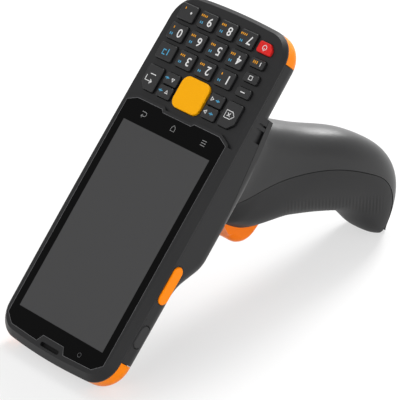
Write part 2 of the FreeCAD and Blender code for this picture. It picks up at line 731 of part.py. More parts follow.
wall_inside = mm("cavity_width") / 2
SIDE_KEYS = [
    ("side_key_left", 1, "side_key_place", "side_key_length", "side_key_height", "side_key_proud"),
    ("side_key_right", -1, "side_key_place", "side_key_length", "side_key_height", "side_key_proud"),
    ("side_button", 1, "side_button_place", "side_button_length", "side_button_height",
     "side_button_proud"),
]
for name, side, place, long, tall, proud in SIDE_KEYS:
    face_x = half_width + mm(proud)
    key = side_bar(side, mm(place), mm(long), mm(tall), 0, wall_inside - mm("flange_gap"), face_x)
    face_edges = [edge for edge in key.Edges if edge.BoundBox.XLength < TINY
                  and abs(abs(edge.CenterOfMass.x) - face_x) < TINY]
    key = key.makeChamfer(mm("key_edge"), face_edges)
    flange = block(wall_inside - mm("flange_gap") - mm("side_flange"), wall_inside - mm("flange_gap"),
                   mm(place) - mm(long) / 2 - 1, mm(place) + mm(long) / 2 + 1,
                   side_middle - mm(tall) / 2 + 0.6, side_middle + mm(tall) / 2 - 0.6)
    if side < 0:
        flange = flange.mirror(Vector(0, 0, 0), Vector(1, 0, 0))
    keep(name, key.fuse(flange).removeSplitter())
    rear = rear.cut(side_bar(side, mm(place), mm(long), mm(tall), mm("side_gap"), wall_inside - 1, FAR / 4))
    room = block(wall_inside - 4, wall_inside, mm(place) - mm(long) / 2 - 1.5,
                 mm(place) + mm(long) / 2 + 1.5, side_middle - mm(tall) / 2, side_middle + mm(tall) / 2)
    if side < 0:
        room = room.mirror(Vector(0, 0, 0), Vector(1, 0, 0))
    rear = rear.cut(room)

# Corner bumpers let into the rear housing
skin = rear_outer(0).cut(rear_outer(mm("bumper_thickness")))
CORNERS = [("bumper_head_left", 1, "head"), ("bumper_head_right", -1, "head"),
           ("bumper_tail_left", 1, "tail"), ("bumper_tail_right", -1, "tail")]


def corner_region(side, end, gap):
    if end == "head":
        low, high = -1, mm("bumper_head_y") + gap
    else:
        low, high = mm("bumper_tail_y") - gap, length + 1
    near = mm("bumper_%s_x" % end) - gap
    region = block(near, FAR / 4, low, high, -mm("body_thickness") - 1, parting)
    if side < 0:
        region = region.mirror(Vector(0, 0, 0), Vector(1, 0, 0))
    return region


for name, side, end in CORNERS:
    keep(name, skin.common(corner_region(side, end, -mm("seam"))))
    rear = rear.cut(skin.common(corner_region(side, end, mm("seam"))))

# Scan window and engine in the head end
scan_low = -mm("scan_depth") - mm("scan_height") / 2
scan_high = -mm("scan_depth") + mm("scan_height") / 2
rear = rear.cut(block(-mm("scan_width") / 2, mm("scan_width") / 2, -1,
                      mm("scan_recess") + mm("scan_glass"), scan_low, scan_high))
rear = rear.cut(block(-mm("engine_width") / 2 - 0.5, mm("engine_width") / 2 + 0.5, 0,
                      mm("cavity_head") + 1, scan_low + 0.8, scan_high - 0.8))
keep("scan_window", block(-mm("scan_width") / 2, mm("scan_width") / 2, mm("scan_recess"),
                          mm("scan_recess") + mm("scan_glass"), scan_low, scan_high))
engine_head = mm("scan_recess") + mm("scan_glass") + 0.5
keep("scan_engine", block(-mm("engine_width") / 2, mm("engine_width") / 2, engine_head,
                          engine_head + mm("engine_length"), scan_low + 1, scan_high - 1))

# Charging contacts in the tail end
dock_middle = -mm("dock_depth")
rear = rear.cut(block(-mm("dock_width") / 2, mm("dock_width") / 2, length - mm("dock_recess"),
                      length + 1, dock_middle - mm("dock_height") / 2, dock_middle + mm("dock_height") / 2))
contact_block = block(-mm("contact_block_width") / 2, mm("contact_block_width") / 2,
                      length - mm("dock_recess") - mm("contact_block_length"), length - mm("dock_recess"),
                      dock_middle - mm("contact_block_height") / 2, dock_middle + mm("contact_block_height") / 2)
rear = rear.cut(contact_block)
contacts = []
for index in range(8):
    x = (index - 3.5) * mm("contact_pitch")
    contacts.append(block(x - mm("contact_width") / 2, x + mm("contact_width") / 2,
                          length - mm("dock_recess") - 1, length - mm("dock_recess") + 0.2,
                          dock_middle - 1.2, dock_middle + 1.2))
keep("dock_block", contact_block.cut(Part.makeCompound(contacts)))
keep("dock_contacts", Part.makeCompound(contacts))

# Slots in both sides that take the grip's hooks
for side in (-1, 1):
    slot = block(half_width - mm("hook_slot_depth"), FAR / 4, mm("hook_slot_head"), mm("hook_slot_tail"),
                 -mm("body_thickness") - 1, -mm("hook_slot_top"))
    groove = block(half_width - mm("hook_slot_depth"), FAR / 4, mm("hook_slot_tail") + mm("hook_bar"),
                   mm("hook_slot_tail") + mm("hook_bar") + mm("hook_groove"),
                   -mm("body_thickness") - 1, -mm("hook_slot_top") + 2)
    ledge = block(half_width - mm("hook_groove"), FAR / 4, mm("hook_slot_tail") - mm("hook_groove"),
                  mm("hook_slot_tail"), -mm("hook_slot_top") - 1, -mm("hook_slot_top") + 2)
    for cutter in (slot, groove, ledge):
        if side < 0:
            cutter = cutter.mirror(Vector(0, 0, 0), Vector(1, 0, 0))
        rear = rear.cut(cutter)

# Loudspeaker behind slots in the back
for index in range(4):
    y = mm("speaker_place") + (index - 1.5) * mm("speaker_slot_pitch")
    rear = rear.cut(rounded_bar(0, y, mm("speaker_slot_length"), mm("speaker_slot_width"),
                                mm("speaker_slot_width") / 2 - TINY, -mm("body_thickness") - 1, cavity_floor + 1))
keep("loudspeaker", block(-mm("speaker_width") / 2, mm("speaker_width") / 2,
                          mm("speaker_place") - mm("speaker_length") / 2,
                          mm("speaker_place") + mm("speaker_length") / 2,
                          cavity_floor, cavity_floor + mm("speaker_height")))


def screw_envelope(place, direction, radius, long):
    """A screw's outside, with its head's face at place and its shank along direction."""
    head = Part.makeCylinder(mm("screw_head_radius"), mm("screw_head_height"), place, direction)
    shank = Part.makeCylinder(radius, long, place + direction * mm("screw_head_height"), direction)
    return head.fuse(shank)


def screw(place, direction, radius, long):
    socket = Part.makeCylinder(mm("screw_head_radius") * 0.5, mm("screw_head_height") * 0.6, place, direction)
    return screw_envelope(place, direction, radius, long).cut(socket)


screws = []
for x, y in ((-1, "screw_head_y"), (1, "screw_head_y"), (-1, "screw_tail_y"), (1, "screw_tail_y")):
    place = Vector(x * mm("screw_inset_x"), mm(y), -mm("body_thickness") + 0.3)
    screws.append(screw(place, Vector(0, 0, 1), mm("screw_radius"), mm("screw_length") - 3))
    boss = Part.makeCylinder(mm("screw_head_radius") + 1.4, board_low + mm("body_thickness") - 1,
                             place + Vector(0, 0, 0.7))
    rear = rear.fuse(boss).cut(Part.makeCylinder(mm("screw_head_radius"), mm("screw_head_height") + 1,
                                                 place - Vector(0, 0, 1)))
    rear = rear.cut(screw_envelope(place, Vector(0, 0, 1), mm("screw_radius"), mm("screw_length") - 3))
keep("housing_screws", Part.makeCompound(screws))
keep("rear_housing", rear.removeSplitter())
keep("front_housing", front.removeSplitter())

# Grip shells
grip = grip_loft(NAMES, 0).fuse(saddle_block)
hollow = grip_loft(["flare", "neck", "palm", "heel"], mm("grip_wall"))
plate_low = -mm("saddle_plate_thickness") - mm("saddle_plate_cover")
trigger_half = mm("trigger_width") / 2
slot_half = trigger_half + mm("trigger_gap")
trigger_path = Part.makeCylinder(mm("trigger_reach") + mm("trigger_gap"), 2 * slot_half,
                                 pivot - Vector(slot_half, 0, 0), Vector(1, 0, 0))
trigger_path = trigger_path.common(block(-FAR, FAR, 60, mm("pivot_y") + 10, -FAR,
                                         -mm("hump_depth") - 2.5))
hollow = hollow.fuse(trigger_path)
rib = block(-FAR / 8, FAR / 8, mm("switch_place_y"), mm("switch_place_y") + mm("rib_thickness"),
            -mm("switch_place_z") - mm("rib_height") / 2, -mm("switch_place_z") + mm("rib_height") / 2)
grip_rib = rib.common(grip_loft(NAMES[:8], 1.0)).cut(seam_region(0))
solid_grip = grip.cut(hollow).cut(below_floor())
pin = axis_x(pivot, mm("pin_radius"), mm("pin_length") / 2)
rear_shell = solid_grip.cut(seam_region(0)).fuse(grip_rib).cut(pin)
front_shell = solid_grip.common(seam_region(mm("grip_seam"))).cut(pin)
seat_middle = Vector(0, mm("saddle_plate_place"), seat_height(mm("saddle_plate_place")))
seat_lean = math.degrees(math.atan2(mm("seat_head_depth") - mm("seat_tail_depth"),
                                    mm("hump_tail") - mm("seat_head_place")))


def on_seat(shape):
    """Move a shape drawn about the origin onto the middle of the sloping seat."""
    shape.rotate(Vector(0, 0, 0), Vector(1, 0, 0), seat_lean)
    shape.translate(seat_middle)
    return shape


plate = on_seat(block(-mm("saddle_plate_width") / 2, mm("saddle_plate_width") / 2,
                      -mm("saddle_plate_length") / 2, mm("saddle_plate_length") / 2,
                      plate_low, plate_low + mm("saddle_plate_thickness")))
rear_shell = rear_shell.cut(plate)
plate_screws = []
for x in (-1, 1):
    for y in (-1, 1):
        place = Vector(x * mm("saddle_screw_x"), y * mm("saddle_screw_y"),
                       plate_low - mm("screw_head_height"))
        plate_screws.append(on_seat(screw(place, Vector(0, 0, 1), mm("screw_radius"),
                                          mm("saddle_plate_thickness"))))
        room = on_seat(screw_envelope(place, Vector(0, 0, 1), mm("screw_radius"),
                                      mm("saddle_plate_thickness")))
        rear_shell = rear_shell.cut(room)
        plate = plate.cut(room)
saddle_screws = Part.makeCompound(plate_screws)
keep("saddle_plate", plate)
keep("saddle_screws", saddle_screws)

# Trigger, its pin, spring and switch


def from_pivot(angle, radius):
    """A point at an angle below the pin, towards the fingers for positive angles."""
    turn = math.radians(angle)
    return pivot + Vector(0, -radius * math.sin(turn), -radius * math.cos(turn))


reach = mm("trigger_reach")
boss = mm("trigger_boss")
edges = [
    arc(from_pivot(100, boss), from_pivot(190, boss), from_pivot(-80, boss)),
    Part.makeLine(from_pivot(-80, boss), from_pivot(-4, reach)),
    arc(from_pivot(-4, reach), from_pivot(3, reach), from_pivot(10, reach)),
    arc(from_pivot(10, reach), from_pivot(23.5, reach - 2.6), from_pivot(31, reach - 9)),
    arc(from_pivot(31, reach - 9), from_pivot(38, reach - 20), from_pivot(60, boss + 7)),
    Part.makeLine(from_pivot(60, boss + 7), from_pivot(100, boss)),
]
trigger = Part.Face(Part.Wire(edges)).extrude(Vector(mm("trigger_width"), 0, 0))
trigger.translate(Vector(-trigger_half, 0, 0))
finger_edges = [edge for edge in trigger.Edges if edge.BoundBox.XLength < TINY
                and edge.Curve.TypeId == "Part::GeomCircle"
                and boss + 1 < edge.Curve.Radius < reach - 1]
trigger = trigger.makeFillet(mm("trigger_edge"), finger_edges)
trigger = trigger.cut(axis_x(pivot, mm("pin_radius") + mm("pin_clearance"), trigger_half + 1))
spring_room = Part.makeCylinder(mm("spring_radius") + 0.8, mm("spring_slot"),
                                pivot - Vector(mm("spring_slot") / 2, 0, 0), Vector(1, 0, 0))
trigger = trigger.cut(spring_room)
keep("trigger", trigger)
keep("trigger_pin", pin)
rings = []
for index in range(3):
    middle = pivot + Vector((index - 1) * mm("spring_pitch"), 0, 0)
    ring = axis_x(middle, mm("spring_radius") + mm("spring_wire"), mm("spring_wire"))
    rings.append(ring.cut(axis_x(middle, mm("spring_radius") - mm("spring_wire"), mm("spring_wire"))))
keep("trigger_spring", Part.makeCompound(rings))
switch = block(-mm("switch_width") / 2, mm("switch_width") / 2, mm("switch_place_y") - mm("switch_depth"),
               mm("switch_place_y"), -mm("switch_place_z") - mm("switch_height") / 2,
               -mm("switch_place_z") + mm("switch_height") / 2)
keep("trigger_switch", switch)
grip_screws = []
for station_name in ("palm", "heel"):
    finger = Vector(0, mm(station_name + "_finger_y"), -mm(station_name + "_finger_z"))
    spine = Vector(0, mm(station_name + "_spine_y"), -mm(station_name + "_spine_z"))
    inward = (spine - finger).normalize()
    place = finger + inward * 0.8
    grip_screws.append(screw(place, inward, mm("grip_screw_radius"), mm("grip_screw_length")))
    recess = Part.makeCylinder(mm("screw_head_radius"), 3.0, finger - inward * 2, inward)
    front_shell = front_shell.cut(recess)
    front_shell = front_shell.cut(screw_envelope(place, inward, mm("grip_screw_radius"),
                                                 mm("grip_screw_length")))
keep("grip_screws", Part.makeCompound(grip_screws))
keep("grip_rear_shell", rear_shell)
keep("grip_front_shell", front_shell)

# Stand the terminal on its head end and butt, centred over its footprint
lean = Rotation(Vector(1, 0, 0), mm("rest_tilt"))
for piece in pieces:
    piece.Placement = Placement(Vector(0, 0, 0), lean)
document.recompute()
box = FreeCAD.BoundBox()
for piece in pieces:
    box.add(piece.Shape.optimalBoundingBox(False))
centre = Vector(0, -(box.YMin + box.YMax) / 2, -floor_level)
for piece in pieces:
    piece.Placement = Placement(centre, lean)
document.recompute()

for item in document.Objects:
    for state in item.State:
        if state in ("Invalid", "Error"):
            raise RuntimeError("%s is %s" % (item.Label, state))
for piece in pieces:
    if piece.Shape.isNull() or not piece.Shape.isValid():
        raise RuntimeError("%s has no valid shape" % piece.Label)

os.makedirs("parts", exist_ok=True)
for piece in pieces:
    piece.Shape.exportStep("parts/%s.step" % piece.Label)
print("rest", mm("rest_tilt"), centre.y, centre.z, "pieces", len(pieces), box)
for piece in pieces:
    print(piece.Label, len(piece.Shape.Solids), round(piece.Shape.Volume, 1))
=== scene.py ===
import json
import math

import bpy
from mathutils import Matrix, Vector


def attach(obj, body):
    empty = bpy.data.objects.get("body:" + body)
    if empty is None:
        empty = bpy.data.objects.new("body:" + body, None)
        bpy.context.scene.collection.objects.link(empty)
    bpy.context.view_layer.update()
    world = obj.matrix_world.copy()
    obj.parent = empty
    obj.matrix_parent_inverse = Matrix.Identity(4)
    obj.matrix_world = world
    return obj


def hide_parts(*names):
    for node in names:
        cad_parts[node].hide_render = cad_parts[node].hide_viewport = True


# A barcode data terminal on a pistol grip, standing on its head end and butt.
# Prints and trims are drawn in the terminal's own frame, in millimetres: X across the face,
# Y from the head end to the tail end, Z out of the face. STAND puts them where the terminal stands.

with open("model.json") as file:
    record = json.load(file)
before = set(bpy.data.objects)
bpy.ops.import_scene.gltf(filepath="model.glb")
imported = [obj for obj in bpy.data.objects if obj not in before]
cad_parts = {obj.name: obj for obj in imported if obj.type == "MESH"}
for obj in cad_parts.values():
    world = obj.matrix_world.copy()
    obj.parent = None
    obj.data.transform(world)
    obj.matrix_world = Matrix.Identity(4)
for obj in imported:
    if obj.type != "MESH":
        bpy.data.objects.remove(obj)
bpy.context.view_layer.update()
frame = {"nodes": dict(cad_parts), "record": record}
nodes = frame["nodes"]

MM = 0.001
REST_TILT = math.radians(48.6)
REST_SHIFT = Vector((0.0, -0.096021, 0.006129))
STAND = Matrix.Translation(REST_SHIFT) @ Matrix.Rotation(REST_TILT, 4, "X")
INTO_FACE = Matrix.Rotation(-REST_TILT, 4, "X")

KEY_TOP = 0.1
GLASS_TOP = 0.0
TOUCH_ROW = 105.1
HOME_PLACE = 0.7
LENS_PLACE = (15.8, 8.4)

# The middle of each key's top
KEY_PLACES = {
    "key_dot": (-23.6, 150.0), "key_9": (-11.8, 150.0), "key_8": (0.0, 150.0), "key_7": (11.8, 150.0),
    "key_0": (-23.6, 140.95), "key_6": (-11.8, 140.95), "key_5": (0.0, 140.95), "key_4": (11.8, 140.95),
    "key_fn": (-23.6, 131.9), "key_3": (-11.8, 131.9), "key_2": (0.0, 131.9), "key_1": (11.8, 131.9),
    "key_power": (22.6, 149.7), "key_case": (22.9, 142.9), "key_program_two": (23.8, 136.5),
    "key_program_one": (23.8, 130.0), "key_enter": (-23.6, 119.7), "key_delete": (23.6, 119.7),
    "key_up": (-13.4, 122.55), "key_down": (-13.4, 116.85), "key_left": (13.4, 122.55),
    "key_right": (13.4, 116.85), "key_scan": (0.0, 120.1),
}


# Effects shared by the materials

def new_effect(name, inputs, outputs):
    effect = bpy.data.node_groups.new(name, "ShaderNodeTree")
    for label, kind, value in inputs:
        socket = effect.interface.new_socket(name=label, in_out="INPUT", socket_type=kind)
        if value is not None:
            socket.default_value = value
    for label, kind in outputs:
        effect.interface.new_socket(name=label, in_out="OUTPUT", socket_type=kind)
    return effect, effect.nodes.new("NodeGroupInput"), effect.nodes.new("NodeGroupOutput")


def maths(tree, operation, first, second, clamp=False):
    node = tree.nodes.new("ShaderNodeMath")
    node.operation = operation
    node.use_clamp = clamp
    for index, value in enumerate((first, second)):
        if isinstance(value, (int, float)):
            node.inputs[index].default_value = value
        elif value is not None:
            tree.links.new(value, node.inputs[index])
    return node.outputs[0]


def band(tree, value, low, high, soft):
    """One where a value lies between low and high, fading out over soft."""
    rise = maths(tree, "DIVIDE", maths(tree, "SUBTRACT", value, low), soft, clamp=True)
    fall = maths(tree, "DIVIDE", maths(tree, "SUBTRACT", high, value), soft, clamp=True)
    return maths(tree, "MULTIPLY", rise, fall)


def make_moulded_grain():
    effect, given, result = new_effect(
        "Moulded grain",
        [("Vector", "NodeSocketVector", None), ("Grain per metre", "NodeSocketFloat", 2600.0),
         ("Roughness low", "NodeSocketFloat", 0.4), ("Roughness high", "NodeSocketFloat", 0.55)],
        [("Height", "NodeSocketFloat"), ("Roughness", "NodeSocketFloat"), ("Tone", "NodeSocketFloat")])
    grain = effect.nodes.new("ShaderNodeTexNoise")
    grain.inputs["Detail"].default_value = 3.0
    grain.inputs["Roughness"].default_value = 0.6
    pits = effect.nodes.new("ShaderNodeTexVoronoi")
    cloud = effect.nodes.new("ShaderNodeTexNoise")
    cloud.inputs["Scale"].default_value = 28.0
    cloud.inputs["Detail"].default_value = 4.0
    spread = effect.nodes.new("ShaderNodeMapRange")
    for texture in (grain, pits, cloud):
        effect.links.new(given.outputs["Vector"], texture.inputs["Vector"])
    effect.links.new(given.outputs["Grain per metre"], grain.inputs["Scale"])
    effect.links.new(given.outputs["Grain per metre"], pits.inputs["Scale"])
    mixed = maths(effect, "ADD", maths(effect, "MULTIPLY", grain.outputs[0], 0.6),
                  maths(effect, "MULTIPLY", pits.outputs["Distance"], 0.4))
    effect.links.new(mixed, result.inputs["Height"])
    effect.links.new(cloud.outputs[0], spread.inputs["Value"])
    effect.links.new(given.outputs["Roughness low"], spread.inputs["To Min"])
    effect.links.new(given.outputs["Roughness high"], spread.inputs["To Max"])
    effect.links.new(spread.outputs[0], result.inputs["Roughness"])
    effect.links.new(cloud.outputs[0], result.inputs["Tone"])
    return effect


def make_box_mask():
    effect, given, result = new_effect(
        "Box mask",
        [("Vector", "NodeSocketVector", None), ("X low", "NodeSocketFloat", -1.0),
         ("X high", "NodeSocketFloat", 1.0), ("Y low", "NodeSocketFloat", -1.0),
         ("Y high", "NodeSocketFloat", 1.0), ("Z low", "NodeSocketFloat", -1.0),
         ("Z high", "NodeSocketFloat", 1.0), ("Fade", "NodeSocketFloat", 0.0001)],
        [("Mask", "NodeSocketFloat")])
    parts = effect.nodes.new("ShaderNodeSeparateXYZ")
    effect.links.new(given.outputs["Vector"], parts.inputs[0])
    mask = None
    for axis in "XYZ":
        one = band(effect, parts.outputs[axis], given.outputs[axis + " low"],
                   given.outputs[axis + " high"], given.outputs["Fade"])
        mask = one if mask is None else maths(effect, "MULTIPLY", mask, one)
    effect.links.new(mask, result.inputs["Mask"])
    return effect


MOULDED_GRAIN = make_moulded_grain()
BOX_MASK = make_box_mask()


class Finish:
    """A material under way, with a pattern vector in the terminal's own frame."""

    def __init__(self, name, colour, roughness, metallic=0.0, specular=0.5):
        self.material = bpy.data.materials.new(name)
        self.material.use_nodes = True
        self.tree = self.material.node_tree
        self.shader = self.tree.nodes["Principled BSDF"]
        self.shader.inputs["Base Color"].default_value = (*colour, 1.0)
        self.shader.inputs["Roughness"].default_value = roughness
        self.shader.inputs["Metallic"].default_value = metallic
        self.shader.inputs["Specular IOR Level"].default_value = specular
        self.colour = None
        self.plain = colour
        self.height = None
        self.roughness = None
        where = self.tree.nodes.new("ShaderNodeTexCoord")
        turned = self.tree.nodes.new("ShaderNodeMapping")
        turned.inputs["Rotation"].default_value = (-REST_TILT, 0.0, 0.0)
        turned.inputs["Location"].default_value = -(INTO_FACE @ REST_SHIFT)
        self.tree.links.new(where.outputs["Object"], turned.inputs["Vector"])
        self.place = turned.outputs["Vector"]
        self.standing = where.outputs["Object"]

    def effect(self, group, **values):
        node = self.tree.nodes.new("ShaderNodeGroup")
        node.node_tree = group
        self.tree.links.new(self.place, node.inputs["Vector"])
        for label, value in values.items():
            node.inputs[label.replace("_", " ").capitalize()].default_value = value
        return node

    def box(self, x, y, z, fade):
        node = self.tree.nodes.new("ShaderNodeGroup")
        node.node_tree = BOX_MASK
        self.tree.links.new(self.place, node.inputs["Vector"])
        for axis, (low, high) in zip("XYZ", (x, y, z)):
            node.inputs[axis + " low"].default_value = low * MM
            node.inputs[axis + " high"].default_value = high * MM
        node.inputs["Fade"].default_value = fade * MM
        return node.outputs["Mask"]

    def paint(self, mask, colour):
        mix = self.tree.nodes.new("ShaderNodeMix")
        mix.data_type = "RGBA"
        if self.colour is None:
            mix.inputs["A"].default_value = (*self.plain, 1.0)
        else:
            self.tree.links.new(self.colour, mix.inputs["A"])
        mix.inputs["B"].default_value = (*colour, 1.0)
        self.tree.links.new(mask, mix.inputs["Factor"])
        self.colour = mix.outputs["Result"]

    def roughen(self, mask, value):
        mix = self.tree.nodes.new("ShaderNodeMix")
        mix.data_type = "FLOAT"
        if self.roughness is None:
            mix.inputs["A"].default_value = self.shader.inputs["Roughness"].default_value
        else:
            self.tree.links.new(self.roughness, mix.inputs["A"])
        mix.inputs["B"].default_value = value
        self.tree.links.new(mask, mix.inputs["Factor"])
        self.roughness = mix.outputs["Result"]

    def grain(self, scale, depth, low, high, tone):
        node = self.effect(MOULDED_GRAIN, grain_per_metre=scale, roughness_low=low, roughness_high=high)
        self.roughness = node.outputs["Roughness"]
        self.raise_by(node.outputs["Height"], depth)
        lighter = tuple(min(1.0, value * (1 + tone) + tone * 0.002) for value in self.plain)
        self.paint(node.outputs["Tone"], lighter)

    def raise_by(self, height, depth):
        scaled = maths(self.tree, "MULTIPLY", height, depth * MM)
        self.height = scaled if self.height is None else maths(self.tree, "ADD", self.height, scaled)

    def done(self):
        if self.colour is not None:
            self.tree.links.new(self.colour, self.shader.inputs["Base Color"])
        if self.roughness is not None:
            self.tree.links.new(self.roughness, self.shader.inputs["Roughness"])
        if self.height is not None:
            bump = self.tree.nodes.new("ShaderNodeBump")
            bump.inputs["Distance"].default_value = 1.0
            self.tree.links.new(self.height, bump.inputs["Height"])
            self.tree.links.new(bump.outputs[0], self.shader.inputs["Normal"])
        return self.material


# Where the housings meet, below the glass
SEAM_DEPTHS = (-3.52, -3.28)
SEAM_EDGE = 0.05


def make_case_finish():
    """Fine satin plastic of the housings, with the dark seam between them."""
    case = Finish("case_plastic", (0.0085, 0.0085, 0.0092), 0.42, specular=0.3)
    case.grain(2400.0, 0.012, 0.36, 0.48, 0.25)
    seam = case.box((-60, 60), (-5, 170), SEAM_DEPTHS, SEAM_EDGE)
    case.paint(seam, (0.002, 0.002, 0.002))
    case.raise_by(seam, -0.2)
    return case.done()


def make_spine_finish():
    """Satin plastic of the grip's back shell, a little glossier than the case."""
    spine = Finish("grip_back_plastic", (0.007, 0.007, 0.0075), 0.32, specular=0.42)
    spine.grain(2200.0, 0.006, 0.3, 0.38, 0.25)
    return spine.done()


# Ribs on the finger shell: (share of x, share of y) they are counted along, and their band's slope
RIB_COUNT_ALONG = (0.67, 0.75)
RIB_SCALE = 210.0
RIB_SLOPE = 0.317
RIB_BAND = ((-40.0, 40.0), (20.0, 80.0), (37.0, 49.0))
RIB_FADE = 4.0


def make_finger_finish():
    """Matt plastic of the finger shell, with fine upright ribs near the butt, which are also painted
    darker as painted shade of their relief.
    """
    finger = Finish("grip_front_plastic", (0.012, 0.012, 0.0125), 0.5, specular=0.3)
    finger.grain(1800.0, 0.02, 0.46, 0.6, 0.25)
    apart = finger.tree.nodes.new("ShaderNodeSeparateXYZ")
    finger.tree.links.new(finger.standing, apart.inputs[0])
    outward = maths(finger.tree, "ABSOLUTE", apart.outputs["X"], None)
    across = maths(finger.tree, "MULTIPLY", outward, RIB_COUNT_ALONG[0])
    lengthwise = maths(finger.tree, "MULTIPLY", apart.outputs["Y"], RIB_COUNT_ALONG[1])
    along = maths(finger.tree, "ADD", across, lengthwise)
    together = finger.tree.nodes.new("ShaderNodeCombineXYZ")
    finger.tree.links.new(along, together.inputs["X"])
    wave = finger.tree.nodes.new("ShaderNodeTexWave")
    wave.bands_direction = "X"
    wave.inputs["Scale"].default_value = RIB_SCALE
    finger.tree.links.new(together.outputs[0], wave.inputs["Vector"])
    slanted = maths(finger.tree, "MULTIPLY", apart.outputs["Y"], RIB_SLOPE)
    leaning = finger.tree.nodes.new("ShaderNodeCombineXYZ")
    finger.tree.links.new(apart.outputs["Y"], leaning.inputs["Y"])
    finger.tree.links.new(maths(finger.tree, "ADD", apart.outputs["Z"], slanted), leaning.inputs["Z"])
    finger.place = leaning.outputs[0]
    ribbed = finger.box(*RIB_BAND, RIB_FADE)
    rib_relief_and_shade = maths(finger.tree, "MULTIPLY", ribbed, wave.outputs[1])
    finger.raise_by(rib_relief_and_shade, 0.08)
    # painted shade: the rib pattern is painted darker, standing in for the shading of the ribs' relief
    finger.paint(maths(finger.tree, "MULTIPLY", rib_relief_and_shade, 0.6), (0.003, 0.003, 0.003))
    return finger.done()


def make_key_finish():
    key = Finish("key_plastic", (0.012, 0.012, 0.0128), 0.4, specular=0.4)
    key.grain(3000.0, 0.005, 0.36, 0.46, 0.2)
    return key.done()


def make_colour_finish(name, colour, low, high):
    moulded = Finish(name, colour, low, specular=0.12)
    moulded.grain(2600.0, 0.008, low, high, 0.0)
    cloud = moulded.effect(MOULDED_GRAIN, grain_per_metre=900.0)
    moulded.paint(cloud.outputs["Tone"], tuple(value * 0.93 for value in colour))
    return moulded.done()


# The part of the glass that the screen shows through
SCREEN_ACROSS = (-25.92, 25.92)
SCREEN_ALONG = (13.7, 100.1)
SCREEN_EDGE = 0.08


def make_glass_finish():
    """Black printed cover glass; the unlit screen shows through its clear middle."""
    glass = Finish("front_glass", (0.0008, 0.0008, 0.0009), 0.06, specular=0.06)
    smear = glass.effect(MOULDED_GRAIN, grain_per_metre=60.0, roughness_low=0.04, roughness_high=0.12)
    glass.roughness = smear.outputs["Roughness"]
    screen = glass.box(SCREEN_ACROSS, SCREEN_ALONG, (-1, 1), SCREEN_EDGE)
    glass.paint(screen, (0.066, 0.066, 0.067))
    glass.roughen(screen, 0.5)
    return glass.done()


def make_metal_finish(name, colour, roughness):
    metal = Finish(name, colour, roughness, metallic=1.0)
    metal.grain(5200.0, 0.006, roughness, roughness + 0.12, 0.0)
    return metal.done()


def make_board_finish():
    board = Finish("circuit_board", (0.01, 0.09, 0.045), 0.4)
    board.grain(1500.0, 0.01, 0.35, 0.5, 0.3)
    tracks = board.tree.nodes.new("ShaderNodeTexBrick")
    tracks.inputs["Scale"].default_value = 260.0
    tracks.inputs["Mortar Size"].default_value = 0.06
    board.tree.links.new(board.place, tracks.inputs["Vector"])
    board.paint(tracks.outputs["Fac"], (0.03, 0.2, 0.09))
    return board.done()


ORANGE = (1.0, 0.25, 0.0)
FINISHES = {
    "case_plastic": make_case_finish(),
    "grip_plastic": make_spine_finish(),
    "key_plastic": make_key_finish(),
    "amber_plastic": make_colour_finish("amber_plastic", (1.0, 0.44, 0.0), 0.4, 0.5),
    "red_plastic": make_colour_finish("red_plastic", (0.72, 0.022, 0.02), 0.35, 0.45),
    "orange_plastic": make_colour_finish("orange_plastic", ORANGE, 0.3, 0.42),
    "front_glass": make_glass_finish(),
    "screen": Finish("screen", (0.06, 0.06, 0.06), 0.5).done(),
    "lens": Finish("lens", (0.004, 0.004, 0.006), 0.05).done(),
    "scan_glass": Finish("scan_glass", (0.09, 0.004, 0.004), 0.05, specular=0.6).done(),
    "steel": make_metal_finish("steel", (0.5, 0.5, 0.51), 0.3),
    "circuit_board": make_board_finish(),
    "battery_wrap": make_colour_finish("battery_wrap", (0.05, 0.06, 0.1), 0.3, 0.4),
    "mat_rubber": make_colour_finish("mat_rubber", (0.03, 0.03, 0.03), 0.6, 0.8),
    "black_plastic": make_colour_finish("black_plastic", (0.008, 0.008, 0.008), 0.45, 0.6),
    "contact_brass": make_metal_finish("contact_brass", (0.85, 0.6, 0.22), 0.2),
}
FINGER_SHELL = make_finger_finish()
TRIGGER_ORANGE = make_colour_finish("trigger_orange", (1.0, 0.2, 0.0), 0.25, 0.35)
WHITE_PRINT = make_colour_finish("white_print", (0.8, 0.8, 0.8), 0.5, 0.6)
AMBER_PRINT = make_colour_finish("amber_print", (1.0, 0.42, 0.01), 0.5, 0.6)
BLUE_PRINT = make_colour_finish("blue_print", (0.09, 0.42, 0.68), 0.5, 0.6)
GREY_PRINT = make_colour_finish("grey_print", (0.3, 0.3, 0.3), 0.5, 0.6)
# light grey of the painted highlight round the glass's rim, also used for the printed ring round the
# camera lens
RIM_HIGHLIGHT_AND_RING_GREY = make_colour_finish("rim_highlight_and_ring_grey", (0.16, 0.16, 0.165), 0.3, 0.4)

for subpart in frame["record"]["subparts"]:
    node = nodes[subpart["node"]]
    finish = FINISHES[subpart["material_slot"]]
    if subpart["node"] == "grip_front_shell":
        finish = FINGER_SHELL
    if subpart["node"] == "trigger":
        finish = TRIGGER_ORANGE
    node.data.materials.clear()
    node.data.materials.append(finish)


# Prints and trims

def body_of(node):
    return node + "_cap" if (node.startswith("key_") or node.startswith("side_")) else "terminal"


def only(thing):
    bpy.ops.object.select_all(action="DESELECT")
    thing.select_set(True)
    bpy.context.view_layer.objects.active = thing


def stand_up(thing, body):
    """Take a finished piece from the terminal's own frame to where the terminal stands."""
    thing.data.transform(STAND @ thing.matrix_world)
    thing.matrix_world = Matrix.Identity(4)
    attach(thing, body)


PRINT_THICKNESS = 0.03
DIGIT_THICKNESS = 0.012
DIGIT_BOLDNESS = 0.05
CAPITAL_SHARE = 0.7


